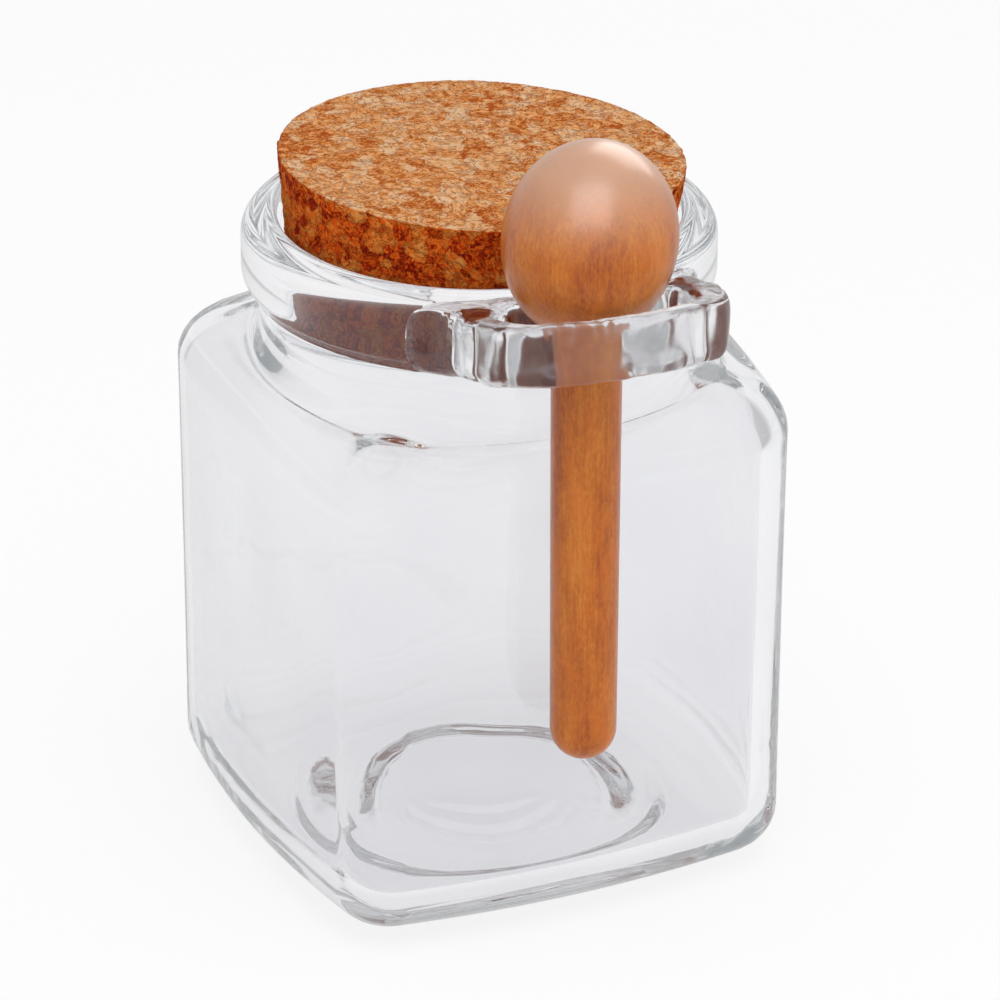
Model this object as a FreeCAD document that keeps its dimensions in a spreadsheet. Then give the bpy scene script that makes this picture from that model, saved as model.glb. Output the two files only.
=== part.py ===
import FreeCAD, Part
import os
import Sketcher
from math import pi
from FreeCAD import Rotation, Vector

# A square glass jar with a round neck, a tapered cork stopper and a wooden spoon that hangs in a
# glass loop on the collar.  Millimetres, +Z up.  The origin is on the ground under the middle of
# the jar, and the loop is on the -Y side.

SIZES = {
    # square body of the jar
    "BodyWidth": 70.0,          # across the middles of two opposite sides
    "SideBulge": 3.2,           # how far each side bows out beyond its two corners
    "CornerRadius": 8.3,        # upright corners
    "ShoulderHeight": 69.8,     # where the sloping shoulder would meet the upright corners
    "ShoulderRise": 1.4,        # from there up to the neck
    "ShoulderRound": 6.4,
    "FootRound": 8.1,           # lower outer edge
    "WallThickness": 3.0,
    "BaseThickness": 4.6,
    "InnerCornerRadius": 6.4,
    "InnerFootRound": 6.0,
    "InnerShoulderRound": 5.0,
    "PuntWidth": 44.0,          # shallow dished recess under the base
    "PuntDepth": 2.6,
    "PuntEdgeRound": 1.2,
    "FloorDome": 2.2,           # the jar's floor rises this much over the recess
    # neck and collar
    "NeckLength": 5.6,          # upright part of the neck
    "NeckWall": 3.3,
    "NeckRound": 4.0,           # hollow curve between shoulder and neck
    "FlareHeight": 4.5,         # where the neck widens into the collar
    "CollarHeight": 8.1,        # at the collar's outer edge
    "CollarWall": 4.85,
    "RimRise": 0.9,             # from the collar's outer edge up to its inner lip
    "CollarLowerRound": 2.2,
    "CollarUpperRound": 1.8,
    "LipEase": 0.9,             # slanted inner edge of the mouth
    # cork stopper
    "CorkTopDiameter": 54.0,
    "CorkTaper": 4.9,           # how much narrower the foot is, on the diameter
    "CorkHeight": 20.0,
    "CorkInsert": 12.6,         # how deep the cork stands in the mouth
    "CorkEdgeRound": 0.6,
    "CorkTilt": 2.9,            # the stopper is pressed in slightly askew
    "CorkClearance": 0.45,      # between cork and glass at the lip
    "MouthTaper": 1.4,          # how much narrower the bore is at its foot, on the diameter
    # glass loop on the collar
    "LoopThickness": 8.4,       # height of the loop's band, measured upright
    "LoopLift": 5.9,            # from the rim up to the top of the loop at its front
    "LoopRise": 13.5,           # upward slope towards the front
    "LoopTurn": -4.0,           # the loop points slightly off the square side
    "LoopSideWall": 4.2,
    "LoopFrontWall": 3.0,
    "LoopFrontBow": 5.2,
    "LoopCornerRadius": 8.0,
    "LoopEdgeRound": 1.3,
    "LoopWeb": 3.2,             # glass left between the collar and the hole
    "HoleWidth": 24.6,
    "HolePlay": 1.0,            # from the stick back to the hole's rear edge
    "HoleAhead": 9.7,           # from the spoon's axis to the hole's front edge
    "HoleFrontBow": 3.4,
    "HoleCornerRadius": 5.0,
    # wooden spoon
    "StickDiameter": 9.2,       # at the head
    "TipDiameter": 8.7,         # at the lower end
    "TipRound": 4.2,            # rounding of the lower end
    "StickReach": 73.0,         # from the middle of the head down to the tip
    "StickGap": 0.7,            # between the stick and the side of the jar
    "SpoonOffset": -3.5,        # sideways place of the spoon in the loop
    "HeadWidth": 22.3,
    "HeadLength": 25.9,
    "HeadLean": 12.0,           # the head's long axis leans away from the stick
    "HeadShift": 0.3,           # the head's middle is this far beside the stick's axis
    "SeatClearance": 0.5,       # between the head and the loop that it rests on
}

# Places that follow from the sizes above, as expressions on the sheet.
CORK_FOOT_RADIUS = "((Sizes.CorkTopDiameter - Sizes.CorkTaper) / 2)"
CORK_AT_LIP = f"({CORK_FOOT_RADIUS} + Sizes.CorkInsert * Sizes.CorkTaper / 2 / Sizes.CorkHeight)"
MOUTH_RADIUS = f"({CORK_AT_LIP} + Sizes.CorkClearance)"
BORE_FOOT_RADIUS = f"({MOUTH_RADIUS} - Sizes.MouthTaper / 2)"
NECK_RADIUS = f"({BORE_FOOT_RADIUS} + Sizes.NeckWall)"
COLLAR_RADIUS = f"({MOUTH_RADIUS} + Sizes.CollarWall)"
SHOULDER_TOP = "(Sizes.ShoulderHeight + Sizes.ShoulderRise)"
NECK_TOP = f"({SHOULDER_TOP} + Sizes.NeckLength)"
COLLAR_BOTTOM = f"({NECK_TOP} + Sizes.FlareHeight)"
COLLAR_TOP = f"({COLLAR_BOTTOM} + Sizes.CollarHeight)"
RIM_TOP = f"({COLLAR_TOP} + Sizes.RimRise)"
HALF_BODY = "(Sizes.BodyWidth / 2)"
CORNER = "(Sizes.BodyWidth / 2 - Sizes.SideBulge)"
BOW_RADIUS = f"(({CORNER}^2 + Sizes.SideBulge^2) / (2 * Sizes.SideBulge))"
BOW_CENTRE = f"({BOW_RADIUS} - {HALF_BODY})"
CORNER_CENTRE = (f"((sqrt(2 * ({BOW_RADIUS} - Sizes.CornerRadius)^2 - {BOW_CENTRE}^2)"
                 f" - {BOW_CENTRE}) / sqrt(2))")
CORNER_REACH = f"({CORNER_CENTRE} + Sizes.CornerRadius)"
SHOULDER_SLOPE = f"(Sizes.ShoulderRise / ({CORNER_REACH} - {NECK_RADIUS}))"
HOLE_BEHIND = "(Sizes.StickDiameter / 2 + Sizes.HolePlay)"
SPOON_REACH = (f"(max({HALF_BODY} + Sizes.StickGap + Sizes.StickDiameter / 2; "
               f"{COLLAR_RADIUS} + Sizes.LoopWeb + {HOLE_BEHIND}))")
HOLE_FRONT = f"({SPOON_REACH} + Sizes.HoleAhead)"
HOLE_REAR = f"({SPOON_REACH} - {HOLE_BEHIND})"
LOOP_TOP = f"({RIM_TOP} + Sizes.LoopLift)"
LOOP_TOP_AT_HOLE = f"({LOOP_TOP} - Sizes.LoopFrontWall * tan(Sizes.LoopRise * 1 deg))"
SEAT_GROWTH = "(Sizes.LoopEdgeRound + Sizes.SeatClearance)"
SEAT_SPREAD = f"((Sizes.HoleAhead + Sizes.LoopEdgeRound) / (Sizes.HeadWidth / 2 + {SEAT_GROWTH}))"
HEAD_HEIGHT = (f"({LOOP_TOP_AT_HOLE} - Sizes.LoopEdgeRound"
               f" + (Sizes.HeadLength / 2 + {SEAT_GROWTH}) * sqrt(1 - {SEAT_SPREAD}^2))")
TIP_HEIGHT = f"({HEAD_HEIGHT} - Sizes.StickReach)"
LOOP_REAR = f"({MOUTH_RADIUS} - Sizes.WallThickness)"
LOOP_FRONT = f"({HOLE_FRONT} + Sizes.LoopFrontWall)"
LOOP_HALF_WIDTH = "(Sizes.HoleWidth / 2 + Sizes.LoopSideWall)"

document = FreeCAD.newDocument("CondimentJar")


def make_sheet():
    sheet = document.addObject("Spreadsheet::Sheet", "Sizes")
    for row, (name, value) in enumerate(SIZES.items(), start=1):
        sheet.set(f"A{row}", name)
        sheet.set(f"B{row}", str(value))
        sheet.setAlias(f"B{row}", name)
    document.recompute()
    return sheet


sizes = make_sheet()


def value_of(expression):
    return float(sizes.evalExpression(expression))


def new_body(name):
    body = document.addObject("PartDesign::Body", name)
    body.Label = name
    return body


def new_sketch(body, name, plane="XY_Plane", offset=None):
    """Sketch on one of the body's own planes; offset is an expression for a placement."""
    sketch = body.newObject("Sketcher::SketchObject", name)
    for feature in body.Origin.OriginFeatures:
        if feature.Role == plane:
            sketch.AttachmentSupport = [(feature, "")]
    sketch.MapMode = "FlatFace"
    if offset:
        sketch.setExpression("AttachmentOffset", offset)
    return sketch


def pin_point(sketch, geometry, end, across, along):
    """Fix one end of a sketch line or arc at two expressions from the sketch's origin."""
    for kind, expression, axis in (("DistanceX", across, -2), ("DistanceY", along, -1)):
        distance = value_of(expression)
        if abs(distance) < 1e-9:
            sketch.addConstraint(Sketcher.Constraint("PointOnObject", geometry, end, axis))
            continue
        if distance > 0:
            ends = (-1, 1, geometry, end)
            bound = expression
        else:
            ends = (geometry, end, -1, 1)
            bound = f"-({expression})"
        index = sketch.addConstraint(Sketcher.Constraint(kind, *ends, abs(distance)))
        sketch.setExpression(f"Constraints[{index}]", bound)


def close_loop(sketch, count):
    for index in range(count):
        following = (index + 1) % count
        sketch.addConstraint(Sketcher.Constraint("Coincident", index, 2, following, 1))


def draw_polygon(sketch, corners):
    """Closed outline of straight lines through corners given as pairs of expressions."""
    points = [Vector(value_of(across), value_of(along), 0) for across, along in corners]
    for index, point in enumerate(points):
        following = points[(index + 1) % len(points)]
        sketch.addGeometry(Part.LineSegment(point, following))
    close_loop(sketch, len(points))
    for index, (across, along) in enumerate(corners):
        pin_point(sketch, index, 1, across, along)


def draw_bowed_square(sketch, half_width, bow_radius, corner_radius):
    """Square outline of four equal arcs that bow out, joined smoothly by four corner arcs."""
    half = value_of(half_width)
    big = value_of(bow_radius)
    small = value_of(corner_radius)
    back = big - half
    middle = (-back + (2 * (big - small) ** 2 - back ** 2) ** 0.5) / 2
    scale = big / (big - small)
    meet = Vector((middle + back) * scale - back, middle * scale, 0)
    corner_tip = middle + small / 2 ** 0.5
    for quarter in range(4):
        spin = Rotation(Vector(0, 0, 1), 90 * quarter)
        side = [Vector(meet.x, -meet.y, 0), Vector(half, 0, 0), meet]
        corner = [meet, Vector(corner_tip, corner_tip, 0), Vector(meet.y, meet.x, 0)]
        for points in (side, corner):
            sketch.addGeometry(Part.Arc(*[spin.multVec(point) for point in points]))
    for index in range(8):
        following = (index + 1) % 8
        sketch.addConstraint(Sketcher.Constraint("Tangent", index, 2, following, 1))
    pin_point(sketch, 0, 3, f"{half_width} - {bow_radius}", "0")
    pin_point(sketch, 2, 3, "0", f"{half_width} - {bow_radius}")
    pin_point(sketch, 4, 3, f"{bow_radius} - {half_width}", "0")
    pin_point(sketch, 6, 3, "0", f"{bow_radius} - {half_width}")
    for first, radius in ((0, bow_radius), (1, corner_radius)):
        for index in range(first + 2, 8, 2):
            sketch.addConstraint(Sketcher.Constraint("Equal", first, index))
        bound = sketch.addConstraint(Sketcher.Constraint("Radius", first, value_of(radius)))
        sketch.setExpression(f"Constraints[{bound}]", radius)


def draw_bowed_end(sketch, half_width, rear, front, bow):
    """Outline with a straight rear, two straight sides and a front that bows out."""
    side = f"({half_width})"
    shoulder = f"(-({front}) + ({bow}))"
    back = f"(-({rear}))"
    corners = [(f"-{side}", shoulder), (side, shoulder), (side, back), (f"-{side}", back)]
    points = [Vector(value_of(across), value_of(along), 0) for across, along in corners]
    tip = Vector(0, -value_of(front), 0)
    sketch.addGeometry(Part.Arc(points[0], tip, points[1]))
    sketch.addGeometry(Part.LineSegment(points[1], points[2]))
    sketch.addGeometry(Part.LineSegment(points[2], points[3]))
    sketch.addGeometry(Part.LineSegment(points[3], points[0]))
    close_loop(sketch, 4)
    for index, (across, along) in enumerate(corners):
        pin_point(sketch, index, 1, across, along)
    radius = sketch.addConstraint(Sketcher.Constraint("Radius", 0, sketch.Geometry[0].Radius))
    sketch.setExpression(f"Constraints[{radius}]",
                         f"({side}^2 + ({bow})^2) / (2 * ({bow}))")


def pad(body, sketch, name, length):
    """Raise the sketch straight up, also from a sloping plane."""
    feature = body.newObject("PartDesign::Pad", name)
    feature.Profile = sketch
    feature.UseCustomVector = True
    feature.Direction = Vector(0, 0, 1)
    feature.AlongSketchNormal = False
    feature.setExpression("Length", length)
    document.recompute()
    return feature


def pocket(body, sketch, name, length):
    """Cut straight up from the sketch."""
    feature = body.newObject("PartDesign::Pocket", name)
    feature.Profile = sketch
    feature.UseCustomVector = True
    feature.Direction = Vector(0, 0, 1)
    feature.AlongSketchNormal = False
    feature.setExpression("Length", length)
    document.recompute()
    return feature


def turn(body, sketch, name, kind="PartDesign::Revolution"):
    feature = body.newObject(kind, name)
    feature.Profile = sketch
    feature.ReferenceAxis = (sketch, ["V_Axis"])
    feature.Angle = 360.0
    document.recompute()
    return feature


def stand_on_ground_plane(body, feature, place):
    """Attach a primitive to the body's own XY plane at a place and rotation."""
    for plane in body.Origin.OriginFeatures:
        if plane.Role == "XY_Plane":
            feature.AttachmentSupport = [(plane, "")]
    feature.MapMode = "FlatFace"
    feature.setExpression("AttachmentOffset", f"placement({place})")


def round_edges(body, base, name, radius, test):
    """Round every edge of the base feature for which test(edge) is true."""
    chosen = [f"Edge{index}" for index, edge in enumerate(base.Shape.Edges, start=1) if test(edge)]
    feature = body.newObject("PartDesign::Fillet", name)
    feature.Base = (base, chosen)
    feature.setExpression("Radius", radius)
    document.recompute()
    return feature


def is_upright(edge):
    box = edge.BoundBox
    return max(box.XLength, box.YLength) < 1e-3 < box.ZLength


def make_square_block(body, prefix, inset, floor, ceiling, corner_radius, foot_round,
                      shoulder_round, slope_inset):
    """Bowed square block with a sloping top that rises to the neck, all edges rounded."""
    outline = new_sketch(body, f"{prefix}Outline",
                         offset=f"placement(vector(0; 0; {floor}); rotation(0; 0; 0))")
    draw_bowed_square(outline, f"({HALF_BODY} - {inset})", f"({BOW_RADIUS} - {inset})",
                      corner_radius)
    block = pad(body, outline, f"{prefix}Block", f"{ceiling} - {floor}")
    hub = f"({NECK_RADIUS} - {slope_inset} - {shoulder_round})"
    edge_height = f"({ceiling} - {SHOULDER_SLOPE} * (Sizes.BodyWidth - {hub}))"
    clear = f"({ceiling} + Sizes.WallThickness)"
    waste = new_sketch(body, f"{prefix}ShoulderWaste", plane="XZ_Plane")
    draw_polygon(waste, [(hub, ceiling), ("Sizes.BodyWidth", edge_height),
                         ("Sizes.BodyWidth", clear), (hub, clear)])
    sloped = turn(body, waste, f"{prefix}Shoulder", "PartDesign::Groove")

    def is_foot(edge):
        return edge.BoundBox.ZMax < value_of(floor) + 1e-3

    foot = round_edges(body, sloped, f"{prefix}Foot", foot_round, is_foot)

    def is_shoulder(edge):
        box = edge.BoundBox
        far = max(abs(box.XMin), abs(box.XMax), abs(box.YMin), abs(box.YMax))
        beyond_hub = far > value_of(hub) + 0.5
        return beyond_hub and box.ZMin > value_of(ceiling) / 2 and not is_upright(edge)

    return round_edges(body, foot, f"{prefix}ShoulderEdge", shoulder_round, is_shoulder)


def add_neck(body):
    """Neck, collar and rim as one turned solid over the shoulder."""
    profile = new_sketch(body, "NeckProfile", plane="XZ_Plane")
    buried = "(Sizes.ShoulderHeight - Sizes.WallThickness)"
    draw_polygon(profile, [("0", buried), (NECK_RADIUS, buried), (NECK_RADIUS, NECK_TOP),
                           (COLLAR_RADIUS, COLLAR_BOTTOM), (COLLAR_RADIUS, COLLAR_TOP),
                           (MOUTH_RADIUS, RIM_TOP), ("0", RIM_TOP)])
    return turn(body, profile, "Neck")


def loop_plane(raised):
    """Sloping lower plane of the loop, raised by an expression."""
    fall = f"{LOOP_FRONT} * tan(Sizes.LoopRise * 1 deg)"
    height = f"{LOOP_TOP} - {fall} - Sizes.LoopThickness + ({raised})"
    spin = "rotation(vector(0; 0; 1); Sizes.LoopTurn)"
    lean = "rotation(vector(1; 0; 0); -Sizes.LoopRise)"
    return f"placement(vector(0; 0; {height}); {spin} * {lean})"


def along_slope(distance):
    """Distance on the loop's sloping plane for a level distance."""
    return f"({distance}) / cos(Sizes.LoopRise * 1 deg)"


def make_loop():
    """Band of glass with a rounded opening for the spoon; its rear is buried in the collar."""
    body = new_body("loop_band")
    outline = new_sketch(body, "LoopOutline", offset=loop_plane("0"))
    draw_bowed_end(outline, LOOP_HALF_WIDTH, along_slope(LOOP_REAR), along_slope(LOOP_FRONT),
                   "Sizes.LoopFrontBow")
    band = pad(body, outline, "Loop", "Sizes.LoopThickness")
    front = -value_of(HOLE_REAR)

    def is_front_corner(edge):
        return is_upright(edge) and edge.CenterOfMass.y < front

    rounded = round_edges(body, band, "LoopCorners", "Sizes.LoopCornerRadius", is_front_corner)
    known = [edge.CenterOfMass for edge in rounded.Shape.Edges]
    hole_outline = new_sketch(body, "HoleOutline", offset=loop_plane("-Sizes.LoopThickness"))
    draw_bowed_end(hole_outline, "(Sizes.HoleWidth / 2)", along_slope(HOLE_REAR),
                   along_slope(HOLE_FRONT), "Sizes.HoleFrontBow")
    hole = pocket(body, hole_outline, "Hole", "3 * Sizes.LoopThickness")

    def is_hole_corner(edge):
        return is_upright(edge) and all((edge.CenterOfMass - old).Length > 1e-3 for old in known)

    eased = round_edges(body, hole, "HoleCorners", "Sizes.HoleCornerRadius", is_hole_corner)
    return round_edges(body, eased, "LoopEdges", "Sizes.LoopEdgeRound",
                       lambda edge: not is_upright(edge))


def make_glass_outside():
    """Square body, neck and collar as one solid without its hollow."""
    body = new_body("jar_outside")
    make_square_block(body, "Outer", "0", "0", SHOULDER_TOP, "Sizes.CornerRadius",
                      "Sizes.FootRound", "Sizes.ShoulderRound", "0")
    neck = add_neck(body)

    def ring_at(height, radius):
        around = 2 * pi * value_of(radius)

        def is_ring(edge):
            box = edge.BoundBox
            level = box.ZLength < 1e-3 and abs(box.ZMin - value_of(height)) < 1e-3
            return level and abs(edge.Length - around) < 1e-2

        return is_ring

    def is_neck_foot(edge):
        box = edge.BoundBox
        reach = max(abs(box.XMin), abs(box.XMax), abs(box.YMin), abs(box.YMax))
        on_neck = reach < value_of(NECK_RADIUS) + 1e-2
        low = value_of(f"{SHOULDER_TOP} - Sizes.WallThickness")
        return on_neck and low < box.ZMin and box.ZMax < value_of(SHOULDER_TOP) + 1e-3

    foot = round_edges(body, neck, "NeckFoot", "Sizes.NeckRound", is_neck_foot)
    lower = round_edges(body, foot, "CollarLower", "Sizes.CollarLowerRound",
                        ring_at(COLLAR_BOTTOM, COLLAR_RADIUS))
    upper = round_edges(body, lower, "CollarUpper", "Sizes.CollarUpperRound",
                        ring_at(COLLAR_TOP, COLLAR_RADIUS))
    punt = body.newObject("PartDesign::SubtractiveEllipsoid", "Punt")
    punt.setExpression("Radius1", "Sizes.PuntDepth")
    punt.setExpression("Radius2", "Sizes.PuntWidth / 2")
    punt.setExpression("Radius3", "Sizes.PuntWidth / 2")
    document.recompute()
    round_edges(body, punt, "PuntEdge", "Sizes.PuntEdgeRound",
                ring_at("0", "(Sizes.PuntWidth / 2)"))
    return body


def make_hollow():
    """The space inside the jar: square room, sloping ceiling and the tapered mouth."""
    body = new_body("jar_inside")
    ceiling = f"({SHOULDER_TOP} - Sizes.WallThickness)"
    make_square_block(body, "Inner", "Sizes.WallThickness", "Sizes.BaseThickness", ceiling,
                      "Sizes.InnerCornerRadius", "Sizes.InnerFootRound",
                      "Sizes.InnerShoulderRound", "Sizes.WallThickness")
    dome = body.newObject("PartDesign::SubtractiveEllipsoid", "FloorDome")
    dome.setExpression("Radius1", "Sizes.FloorDome")
    dome.setExpression("Radius2", "Sizes.PuntWidth / 2")
    dome.setExpression("Radius3", "Sizes.PuntWidth / 2")
    stand_on_ground_plane(body, dome, "vector(0; 0; Sizes.BaseThickness); rotation(0; 0; 0)")
    document.recompute()
    profile = new_sketch(body, "MouthProfile", plane="XZ_Plane")
    above = f"({LOOP_TOP} + Sizes.LoopThickness)"
    buried = f"({ceiling} - Sizes.WallThickness)"
    lip = f"({MOUTH_RADIUS} + Sizes.LipEase)"
    draw_polygon(profile, [("0", buried), (BORE_FOOT_RADIUS, buried),
                           (MOUTH_RADIUS, f"({RIM_TOP} - Sizes.LipEase)"),
                           (lip, RIM_TOP), (lip, above), ("0", above)])
    turn(body, profile, "Mouth")
    return body


def make_jar():
    """The glass in one piece: outside and loop joined, hollow taken away."""
    outside = make_glass_outside()
    hollow = make_hollow()
    loop = make_loop()
    joined = document.addObject("Part::Fuse", "glass_solid")
    joined.Base = outside
    joined.Tool = loop
    jar = document.addObject("Part::Cut", "glass_jar")
    jar.Label = "glass_jar"
    jar.Base = joined
    jar.Tool = hollow
    return jar


def make_cork():
    """Tapered stopper, pressed into the mouth slightly askew about the middle of the lip."""
    body = new_body("cork_stopper")
    profile = new_sketch(body, "CorkProfile", plane="XZ_Plane")
    draw_polygon(profile, [("0", "-Sizes.CorkInsert"),
                           (CORK_FOOT_RADIUS, "-Sizes.CorkInsert"),
                           ("(Sizes.CorkTopDiameter / 2)", "(Sizes.CorkHeight - Sizes.CorkInsert)"),
                           ("0", "(Sizes.CorkHeight - Sizes.CorkInsert)")])
    cone = turn(body, profile, "Cork")
    round_edges(body, cone, "CorkEdges", "Sizes.CorkEdgeRound",
                lambda edge: edge.BoundBox.ZLength < 1e-3)
    body.setExpression("Placement", f"placement(vector(0; 0; {RIM_TOP}); "
                                    "rotation(vector(0; 1; 0); Sizes.CorkTilt))")
    return body


def make_spoon():
    """Turned stick with a rounded tip and an egg-shaped head, hanging through the loop."""
    body = new_body("wooden_spoon")
    profile = new_sketch(body, "StickProfile", plane="XZ_Plane")
    draw_polygon(profile, [("0", TIP_HEIGHT), ("(Sizes.TipDiameter / 2)", TIP_HEIGHT),
                           ("(Sizes.StickDiameter / 2)", HEAD_HEIGHT), ("0", HEAD_HEIGHT)])
    stick = turn(body, profile, "Stick")
    tip_height = value_of(TIP_HEIGHT)
    round_edges(body, stick, "StickTip", "Sizes.TipRound",
                lambda edge: edge.BoundBox.ZMax < tip_height + 1e-3)
    head = body.newObject("PartDesign::AdditiveEllipsoid", "Head")
    head.setExpression("Radius1", "Sizes.HeadLength / 2")
    head.setExpression("Radius2", "Sizes.HeadWidth / 2")
    head.setExpression("Radius3", "Sizes.HeadWidth / 2")
    stand_on_ground_plane(body, head, f"vector(Sizes.HeadShift; 0; {HEAD_HEIGHT}); "
                                      "rotation(vector(0; 1; 0); Sizes.HeadLean)")
    body.setExpression("Placement", f"placement(vector(Sizes.SpoonOffset; -{SPOON_REACH}; 0); "
                                    "rotation(0; 0; 0))")
    return body


def check_model(nodes):
    """Stop before anything is written if a feature or a finished piece has failed."""
    for item in document.Objects:
        if "Invalid" in item.State or "Error" in item.State:
            raise RuntimeError(f"{item.Name} failed")
    for node in nodes:
        if node.Shape.isNull() or not node.Shape.isValid():
            raise RuntimeError(f"{node.Label} has no valid shape")


nodes = [make_jar(), make_cork(), make_spoon()]
document.recompute()
check_model(nodes)
os.makedirs("parts", exist_ok=True)
for node in nodes:
    node.Shape.exportStep(f"parts/{node.Label}.step")
    print(node.Label, "solids", len(node.Shape.Solids), "volume", round(node.Shape.Volume, 1))
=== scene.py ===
import math

import bmesh
import bpy
import numpy as np
from mathutils import Matrix, Vector, noise


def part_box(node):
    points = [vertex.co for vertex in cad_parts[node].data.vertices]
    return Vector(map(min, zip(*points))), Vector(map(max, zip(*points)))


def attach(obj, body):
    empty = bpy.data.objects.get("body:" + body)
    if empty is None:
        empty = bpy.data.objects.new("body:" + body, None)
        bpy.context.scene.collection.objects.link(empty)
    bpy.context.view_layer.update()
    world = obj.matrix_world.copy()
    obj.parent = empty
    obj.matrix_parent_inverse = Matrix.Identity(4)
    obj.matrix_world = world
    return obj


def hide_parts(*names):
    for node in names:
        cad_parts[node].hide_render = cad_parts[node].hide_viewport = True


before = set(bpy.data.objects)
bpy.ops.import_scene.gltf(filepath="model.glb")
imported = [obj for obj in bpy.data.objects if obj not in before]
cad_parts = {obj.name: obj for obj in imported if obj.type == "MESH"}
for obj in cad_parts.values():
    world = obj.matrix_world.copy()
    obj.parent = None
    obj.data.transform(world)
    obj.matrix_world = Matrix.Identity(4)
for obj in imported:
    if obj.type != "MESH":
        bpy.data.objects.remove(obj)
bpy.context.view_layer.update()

# Condiment jar: a square glass jar with a cork stopper and a wooden spoon that hangs in a glass loop.
# Lengths are in millimetres until a mesh is made, and then in metres, as in the materials, lamps and camera.

MM = 0.001


def box_mm(node):
    low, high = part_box(node)
    return Vector(low) / MM, Vector(high) / MM


# ---------------------------------------------------------------- sizes

JAR_LOW, JAR_HIGH = box_mm("glass_jar")
SPOON_LOW, SPOON_HIGH = box_mm("wooden_spoon")

WAVE_ROOM = 0.3                 # each side of the mesh lies this far inside the box, as room for its waves
HALF_BODY = (JAR_HIGH.x - JAR_LOW.x) / 2 - WAVE_ROOM
SIDE_BULGE = 3.2
CORNER_RADIUS = 8.3
SMALLEST_CORNER = 0.15
FOOT_ROUND = 8.1
FOOT_TAPER = 0.01               # share by which the body is narrower at the ground
SHOULDER_FOOT = 63.7            # where the upright sides end
SHOULDER_KNEE = 70.5            # where the rounded shoulder turns into the hollow above it
SHOULDER_SHARE = 0.60           # the shoulder's share of the way in to the neck
SHOULDER_CORNER_SHARE = 0.02    # how much more it has at the corners
NECK_RADIUS = 29.15
NECK_FOOT = 75.6
NECK_TOP = 76.8
COLLAR_RADIUS = 31.4
COLLAR_BOTTOM = 80.7
COLLAR_TOP = 89.4
COLLAR_LOWER_ROUND = 2.0
COLLAR_LOWER_INSET = 1.5
COLLAR_UPPER_ROUND = 2.4
RIM_TOP = 90.3

WALL = 3.0
INNER_CORNER_RADIUS = 6.4
INNER_FOOT_ROUND = 6.0
FLOOR_HEIGHT = 4.6
FLOOR_DOME = 2.2
WALL_TOP = 61.5                 # where the upright inner walls end
CEILING_HEIGHT = 67.6
CEILING_SHARE = 0.6
BORE_FOOT = 74.0
BORE_FOOT_RADIUS = 25.9
BORE_TOP = RIM_TOP - 0.9
MOUTH_RADIUS = 26.55
POCKET_PLACE = 23.6             # middle of a shoulder corner's dome, from the axis along x and along y
POCKET_RADIUS = 6.0
POCKET_HEIGHT = 1.3

PUNT_RADIUS = 22.0              # the hollow under the base
PUNT_BAND = 7.0                 # width of the slope round the hollow
PUNT_DEPTH = 2.8
PUNT_RIPPLE = 0.16
PUNT_RIPPLE_SIZE = 2.2
BEAD_HEIGHT = 1.3               # the jar stands on a rounded ring this much below its base
BEAD_SLOPE = 4.2
FLOOR_EDGE = PUNT_RADIUS + 1.4

WAVE_SIZE = 13.0                # size of the slow waves in the walls
WAVE_STRETCH = 0.55             # below 1 they are longer upwards
OUTER_WAVE = -0.10
OUTER_SETBACK = 0.05            # the waved sides lie this much deeper than the plain ones
INNER_WAVE = 0.35
WAVE_FADE_LOW = 8               # the waves fade in over this height at a wall's foot
WAVE_FADE_HIGH = 6              # and out over this height at its top
CORNER_RIPPLE = 0.12            # finer waves low in the inner corners
CORNER_RIPPLE_SIZE = 2.0
CORNER_RIPPLE_TOP = 34.0        # none above this height
CORNER_RIPPLE_FULL = 14.0       # at full strength below this one
CORNER_SPREAD = 0.16            # in radians

LOOP_TURN = math.radians(-4.0)
LOOP_RISE = math.tan(math.radians(13.5))
LOOP_FRONT = -JAR_LOW.y - 0.1   # farthest reach of the loop, less its unevenness
LOOP_TOP = JAR_HIGH.z + 0.45
LOOP_THICKNESS = 8.5
LOOP_ROOT_EXTRA = 1.0           # the loop is thicker where it leaves the collar
LOOP_ROOT_DROP = 0.15
LOOP_ROOT_REAR = 30.0           # the extra thickness is whole behind this y
LOOP_ROOT_FRONT = 40.0          # and gone in front of this one
LOOP_WINDOW_REAR = 44           # the stick shows through the loop in front of this y
LOOP_HALF_WIDTH = 16.9
LOOP_SHIFT = 0.5                # its outline lies this far to one side of the hole
LOOP_FRONT_BOW = 5.2
LOOP_CORNER = 9.0
LOOP_SQUARENESS = 4.2           # power of the section's outline, which is 2 for an oval
LOOP_BURIAL = 2.6               # how deep the loop's rear lies in the collar
LOOP_FLARE = ((0.0, 34.5), (0.25, 32.0), (0.9, 29.6), (2.0, 27.4), (3.4, 25.6))  # extra half width, y
HOLE_HALF_WIDTH = 12.3
HOLE_FRONT = LOOP_FRONT - 2.9
HOLE_REAR = 34.6
HOLE_FRONT_BOW = 3.4
HOLE_CORNER = 5.0
HOLE_REAR_CORNER = 5.5

CORK_TOP_RADIUS = 27.0
CORK_BOTTOM_RADIUS = 24.55
CORK_HEIGHT = 20.0
CORK_INSERT = 12.6
CORK_TILT = math.radians(2.9)
CHIP_SIZE = 2.3
CRUMB_SIZE = 1.0

STICK_RADIUS = 4.6
TIP_RADIUS = 4.35
STICK_BURIAL = 6                # the stick ends this far below the head's middle
SPOON_X = -3.5
SPOON_Y = -40.3
HEAD_RADIUS = 11.15
HEAD_HALF_LENGTH = 12.95
HEAD_LEAN = math.radians(12.0)
HEAD_SHIFT = 0.3
HEAD_HEIGHT = SPOON_HIGH.z - 12.89


# ---------------------------------------------------------------- mesh helpers

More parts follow.
